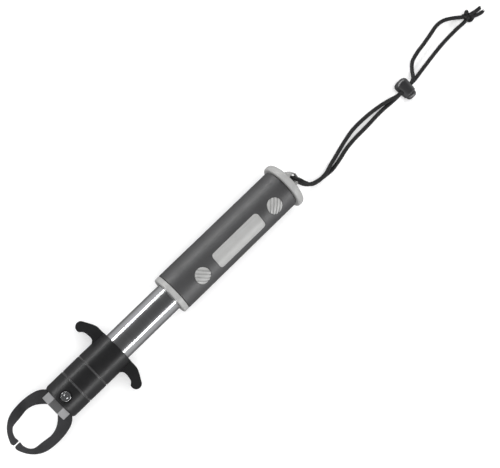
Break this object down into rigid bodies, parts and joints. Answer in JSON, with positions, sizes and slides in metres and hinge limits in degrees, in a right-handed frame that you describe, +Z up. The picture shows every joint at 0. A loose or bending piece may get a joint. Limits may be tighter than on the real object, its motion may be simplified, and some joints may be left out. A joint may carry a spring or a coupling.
{
  "type": "lip grip",
  "caption": "Lip grip for landing fish: finger-wing sleeve opens two hooked jaws on a polished tube that swivels in a rubber handle with a cord lanyard.",
  "frame": {"origin": "on the surface that the tool lies on, below the middle of its box without the lanyard; the tool's axis is 18 mm above it", "axes": "+X along the tool's axis from the jaws to the lanyard lug, +Y across the closed jaws in their plane, +Z up"},
  "size_m": [0.4753, 0.0614, 0.036],
  "materials": {
    "grip_rubber": "matt, moulded",
    "core_plastic": "moulded",
    "grey_plastic": "moulded, light grey",
    "black_plastic": "moulded, half gloss",
    "coated_steel": "black coated, half gloss",
    "steel": "plain stainless",
    "polished_steel": "polished stainless",
    "bush": "acetal",
    "seal": "matt",
    "cord": "braided polyester"
  },
  "bodies": {
    "handle": {"handle_grip": "grip_rubber", "handle_core": "core_plastic", "front_ring": "grey_plastic", "swivel_bush": "bush", "rear_cap": "grey_plastic", "cap_pin_left": "steel", "cap_pin_right": "steel", "cap_seal": "seal", "label_plate": "grey_plastic", "grip_disc_front": "grey_plastic", "grip_disc_rear": "grey_plastic", "lanyard_strand_a": "cord", "lanyard_strand_b": "cord", "lanyard_knot": "cord", "cord_lock_body": "black_plastic", "cord_lock_spring": "steel"},
    "barrel": {"barrel_tube": "polished_steel", "jaw_head": "steel", "head_rivet_left": "steel", "head_rivet_right": "steel", "jaw_pivot_pin": "steel", "tube_plug": "steel", "plug_pin": "steel", "thrust_washer": "steel", "snap_ring": "steel", "return_spring": "steel"},
    "trigger": {"trigger_sleeve": "black_plastic", "cross_screw": "polished_steel", "cross_nut": "steel", "spring_yoke": "steel"},
    "jaw_left": {"jaw_left": "coated_steel"},
    "jaw_right": {"jaw_right": "coated_steel"},
    "lock_button": {"cord_lock_button": "black_plastic"}
  },
  "joints": [
    {"name": "handle_swivel", "type": "hinge", "parent": "handle", "child": "barrel", "pos_m": [0, 0, 0.018], "axis": [1, 0, 0], "continuous": true},
    {"name": "trigger_pull", "type": "slide", "parent": "barrel", "child": "trigger", "axis": [1, 0, 0], "range_m": [0, 0.008], "stiffness_N_per_m": 900, "springref_m": -0.012, "deforming": ["return_spring"]},
    {"name": "jaw_left_open", "type": "hinge", "parent": "barrel", "child": "jaw_left", "pos_m": [-0.0925, 0, 0.018], "axis": [0, 0, -1], "range_deg": [0, 20.01]},
    {"name": "jaw_right_open", "type": "hinge", "parent": "barrel", "child": "jaw_right", "pos_m": [-0.0925, 0, 0.018], "axis": [0, 0, 1], "range_deg": [0, 20.01]},
    {"name": "lock_press", "type": "slide", "parent": "handle", "child": "lock_button", "axis": [0, 1, 0], "range_m": [0, 0.0015], "stiffness_N_per_m": 600, "springref_m": -0.003, "deforming": ["cord_lock_spring"]}
  ],
  "couplings": [
    {"joint": "jaw_left_open", "follows": "trigger_pull", "rad_per_m": 43.633},
    {"joint": "jaw_right_open", "follows": "trigger_pull", "rad_per_m": 43.633}
  ]
}
